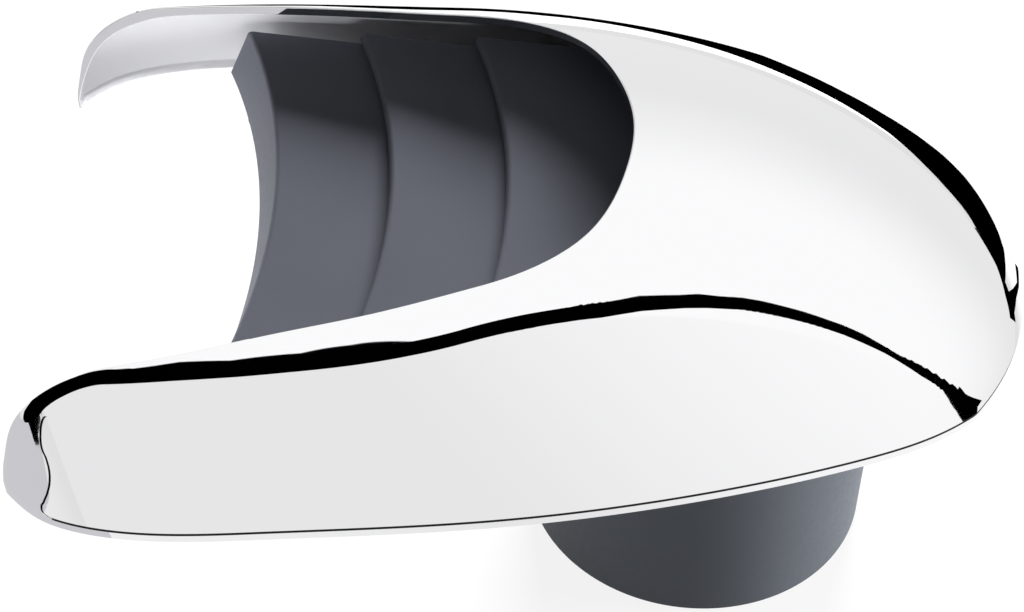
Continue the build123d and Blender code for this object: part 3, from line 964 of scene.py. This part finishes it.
def direction(azimuth, elevation):
    """Unit vector; azimuth 0 is +Y behind the vent and 90 is +X at its nose, in degrees."""
    turn, lift = np.radians(azimuth), np.radians(elevation)
    return np.array([np.sin(turn) * np.cos(lift), np.cos(turn) * np.cos(lift), np.sin(lift)])


def stage_mesh(name, points, faces, material):
    mesh = bpy.data.meshes.new(name)
    mesh.from_pydata([tuple(float(v) for v in p) for p in points], [], faces)
    mesh.materials.append(material)
    piece = add_object(name, mesh)
    return piece


def bare_material(name):
    material = bpy.data.materials.new(name)
    material.use_nodes = True
    material.node_tree.nodes.clear()
    return material, material.node_tree


def strip(name, rows, color):
    """Studio piece of one even colour through rows of points; it shows only in the polished metal."""
    material, tree = bare_material(name)
    glow = add_node(tree, "ShaderNodeEmission", {"Color": (*color, 1)})
    add_node(tree, "ShaderNodeOutputMaterial", {"Surface": glow.outputs[0]})
    cuts = len(rows[0]) - 1
    points = [point for row in rows for point in row]
    faces = []
    for number in range(len(rows) - 1):
        for i in range(cuts):
            k = (cuts + 1) * number + i
            faces.append((k, k + 1, k + cuts + 2, k + cuts + 1))
    piece = stage_mesh(name, points, faces, material)
    piece.visible_camera = False
    piece.visible_diffuse = False
    piece.visible_shadow = False


def curved_card(name, edges, color):
    """Ribbon on a dome round the vent; each pair gives azimuth and elevation of its two edges."""
    rows = []
    for first, second in edges:
        start, end = direction(*first), direction(*second)
        ways = [start + (end - start) * i / card_cuts for i in range(card_cuts + 1)]
        rows.append([way / np.linalg.norm(way) * dome_radius for way in ways])
    strip(name, rows, color)


def floor_cloth(name, edges, color, lift):
    """Strip of cloth on the floor, from pairs of edge points in metres."""
    rows = [[(*point, floor_height + lift) for point in pair] for pair in edges]
    strip(name, rows, color)


def floor_material():
    """Pale floor that shows nearly white to the camera and in the metal."""
    material, tree = bare_material("studio_floor")
    diffuse = add_node(tree, "ShaderNodeBsdfDiffuse", {"Color": (*floor_grey, 1)})
    white = add_node(tree, "ShaderNodeEmission")
    rays = add_node(tree, "ShaderNodeLightPath").outputs
    seen = calc(tree, "MAXIMUM", rays["Is Camera Ray"], rays["Is Glossy Ray"])
    share = calc(tree, "MULTIPLY", seen, floor_white_share)
    mix = add_node(tree, "ShaderNodeMixShader", {0: share, 1: diffuse.outputs[0], 2: white.outputs[0]})
    add_node(tree, "ShaderNodeOutputMaterial", {"Surface": mix.outputs[0]})
    return material


corner_signs = ((-1, -1), (1, -1), (1, 1), (-1, 1))
floor_corners = [(floor_reach * x, floor_reach * y, floor_height) for x, y in corner_signs]
stage_mesh("floor", floor_corners, [(0, 1, 2, 3)], floor_material())

curved_card("dark_card_in_front", [
    ((252, -1.3), (220, -1.3)), ((264, 3), (219, 3)), ((268, 12), (217, 6)), ((261, 20), (214, 8)),
    ((247, 35), (205, 11)), ((234, 46), (200, 12)), ((219, 59), (196, 14)), ((208, 65), (191, 19)),
    ((200, 66.3), (186, 20)), ((190, 69.3), (182, 24)), ((185, 72), (176, 26)), ((182, 74.2), (172, 27)),
    ((174, 75.4), (168, 26)), ((164, 75.8), (166, 26)), ((151, 76.2), (163.5, 26)),
    ((140, 75.8), (162, 26.6)), ((128, 75.4), (160, 28)), ((116, 74.8), (159, 29.4)),
    ((109, 73.1), (157, 31)), ((102, 71), (152, 39.5)), ((96, 68.7), (145, 47.3)),
    ((93, 66.1), (137, 51.5)), ((90.5, 63.5), (124, 55.8)),
    ((88, 61), (111, 57)), ((87, 58), (102, 56)), ((85.5, 55), (95, 55)), ((85, 52), (93, 52)),
    ((85, 46), (92, 46)), ((85.5, 40), (93, 40)), ((86, 37), (97, 36.5)), ((87, 34), (100, 33)),
    ((88, 30.5), (107, 29)), ((88, 26.5), (115, 23)), ((89, 20), (116, 18)), ((89, 13), (112, 14.5)),
    ((88, 8), (110, 10)),
], black)
curved_card("dark_card_above_back", [((-14, 36), (-14, 76)), ((0, 36), (0, 76)), ((10, 40), (14, 76))], black)
floor_cloth("dark_cloth_behind", [
    ((-0.15, 0.215), (-0.15, 0.235)), ((-0.095, 0.215), (-0.098, 0.275)), ((-0.045, 0.225), (-0.05, 0.40)),
    ((0.0, 0.25), (0.0, 0.50)), ((0.05, 0.275), (0.08, 0.56)), ((0.10, 0.30), (0.157, 0.60)),
    ((0.135, 0.30), (0.25, 0.68)), ((0.152, 0.28), (0.38, 0.76)), ((0.158, 0.25), (0.53, 0.85)),
    ((0.167, 0.228), (1.13, 1.49)), ((0.191, 0.228), (1.78, 2.09)), ((0.267, 0.265), (2.2, 2.0)),
    ((0.338, 0.297), (2.4, 1.9)), ((0.403, 0.331), (2.45, 1.74)),
], black, black_lift)
floor_cloth("dark_strip_at_nose", [
    ((0.27, 0.192), (0.30, 0.222)), ((0.42, 0.272), (0.45, 0.302)), ((0.78, 0.48), (0.86, 0.57)),
    ((2.6, 1.45), (2.5, 1.66)),
], black, black_lift)
curved_card("dark_skyline_at_nose", [
    ((46, -1.4), (46, -0.8)), ((52, -1.4), (52, -0.6)), ((58, -1.4), (58, 1.0)), ((63, -1.4), (63, 1.4)),
], black)
floor_cloth("grey_cloth_at_tail", [
    ((-0.12, -0.02), (-0.12, -0.10)), ((-0.38, 0.10), (-0.38, -0.23)), ((-0.53, 0.30), (-0.53, -0.43)),
    ((-0.85, 0.60), (-0.85, -0.80)), ((-2.2, 1.6), (-2.2, -2.0)),
], lilac_grey, grey_lift)
floor_cloth("dark_cloth_at_tail", [
    ((-0.60, -0.47), (-0.605, -0.48)), ((-0.68, -0.50), (-0.70, -0.615)), ((-1.0, -0.55), (-0.81, -0.755)),
    ((-1.7, -0.7), (-1.46, -1.64)), ((-3.4, -1.1), (-2.31, -2.72)),
], black, black_lift)

# World: white to the camera, near white in the metal, dim as a light
sky_bright_way = direction(100, 60)
sky_glow = {"From Min": 0.4, "From Max": 0.82, "To Min": 0.93, "To Max": 1.13}
sky_light = 0.08

world = bpy.data.worlds.new("studio")
bpy.context.scene.world = world
world.use_nodes = True
tree = world.node_tree
rays = add_node(tree, "ShaderNodeLightPath").outputs
way = add_node(tree, "ShaderNodeTexCoord").outputs["Generated"]
toward = add_node(tree, "ShaderNodeVectorMath", {0: way, 1: sky_bright_way}, operation="DOT_PRODUCT")
glow = {**sky_glow, "Value": toward.outputs["Value"]}
glow = add_node(tree, "ShaderNodeMapRange", glow, interpolation_type="SMOOTHSTEP").outputs["Result"]
for rays_used, strength in (("Diffuse Depth", sky_light), ("Is Camera Ray", 1.0)):
    mixed = {"Factor": rays[rays_used], "A": glow, "B": strength}
    glow = add_node(tree, "ShaderNodeMix", mixed, data_type="FLOAT").outputs["Result"]
set_inputs(tree, tree.nodes["Background"], {"Color": (1, 1, 1, 1), "Strength": glow})

lamp_aim = Vector((-0.05, 0, 0.02))


def soft_lamp(name, azimuth, elevation, distance, size, power):
    """Soft lamp aimed at the mouth, not seen in the metal."""
    data = bpy.data.lights.new(name, "AREA")
    data.shape = "RECTANGLE"
    data.size, data.size_y = size
    data.energy = power
    lamp = add_object(name, data)
    lamp.location = Vector(direction(azimuth, elevation) * distance) + lamp_aim
    lamp.rotation_euler = (lamp_aim - lamp.location).to_track_quat("-Z", "Y").to_euler()
    lamp.visible_glossy = False
    lamp.visible_camera = False


soft_lamp("back_lamp", 12, 15, 1.2, (0.6, 0.2), 56.0)
soft_lamp("front_fill", 168, 7, 1.2, (0.6, 0.1), 8.0)
soft_lamp("apron_fill", -98, -13, 0.3, (0.3, 0.05), 0.6)
soft_lamp("spigot_fill", 92, -3, 0.7, (0.3, 0.05), 19.0)

camera_place = Vector((-0.05014, -0.30514, 0.29387))
camera_right = Vector((0.99964, -0.02668, 0.0))
camera_up = Vector((0.01883, 0.70578, 0.70818))
camera_data = bpy.data.cameras.new("camera")
camera_data.lens = 71.42
camera_data.sensor_width = 36.0
camera_data.clip_start = 0.01
camera = add_object("camera", camera_data)
camera_back = camera_right.cross(camera_up)
camera_frame = Matrix((camera_right, camera_up, camera_back)).transposed().to_4x4()
camera_frame.translation = camera_place
camera.matrix_world = camera_frame
bpy.context.scene.camera = camera
bpy.context.scene.view_settings.view_transform = "Standard"
